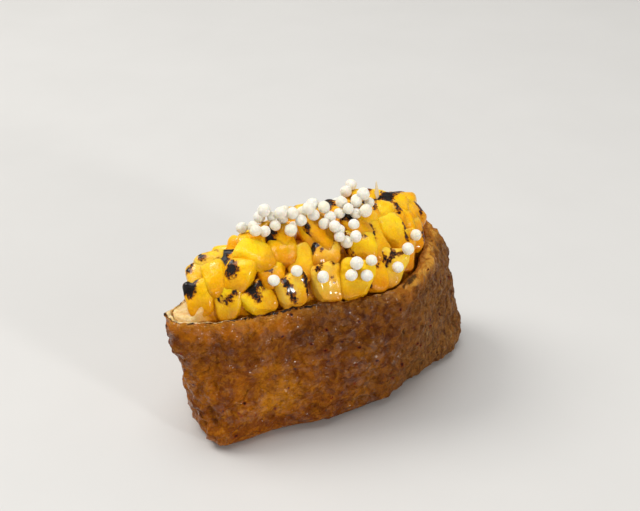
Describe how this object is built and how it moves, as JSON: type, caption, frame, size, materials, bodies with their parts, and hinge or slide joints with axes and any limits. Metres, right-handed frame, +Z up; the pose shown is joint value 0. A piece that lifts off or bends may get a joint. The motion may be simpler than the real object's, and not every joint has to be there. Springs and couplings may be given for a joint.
{
  "type": "inari sushi",
  "caption": "Open-topped inari sushi: a teardrop-shaped pouch of seasoned fried tofu skin, heaped above its mouth with charred sweetcorn kernels and puffed rice balls.",
  "frame": {"origin": "centre of the bounding box's bottom, on the surface that the pouch stands on", "axes": "+X along the pouch, from its pinched tip towards its broad end; +Y towards its far side; +Z up"},
  "size_m": [0.0834, 0.0396, 0.0486],
  "materials": {
    "tofu_skin": "thin fried tofu skin soaked in sweet soy: caramel brown with golden and darker patches, finely wrinkled, moist and softly glossy, singed black along the lip",
    "charred_corn": "plump glazed sweetcorn kernels, bright yellow to deep orange and slightly translucent, with black charred spots and streaks",
    "puffed_rice": "small matt cream-white balls of puffed rice with a finely crazed surface",
    "corn_silk": "one pale dry pointed bract standing up on the heap"
  },
  "bodies": {
    "root": {"tofu_pouch": "tofu_skin", "corn_heap": "charred_corn"}
  },
  "joints": []
}
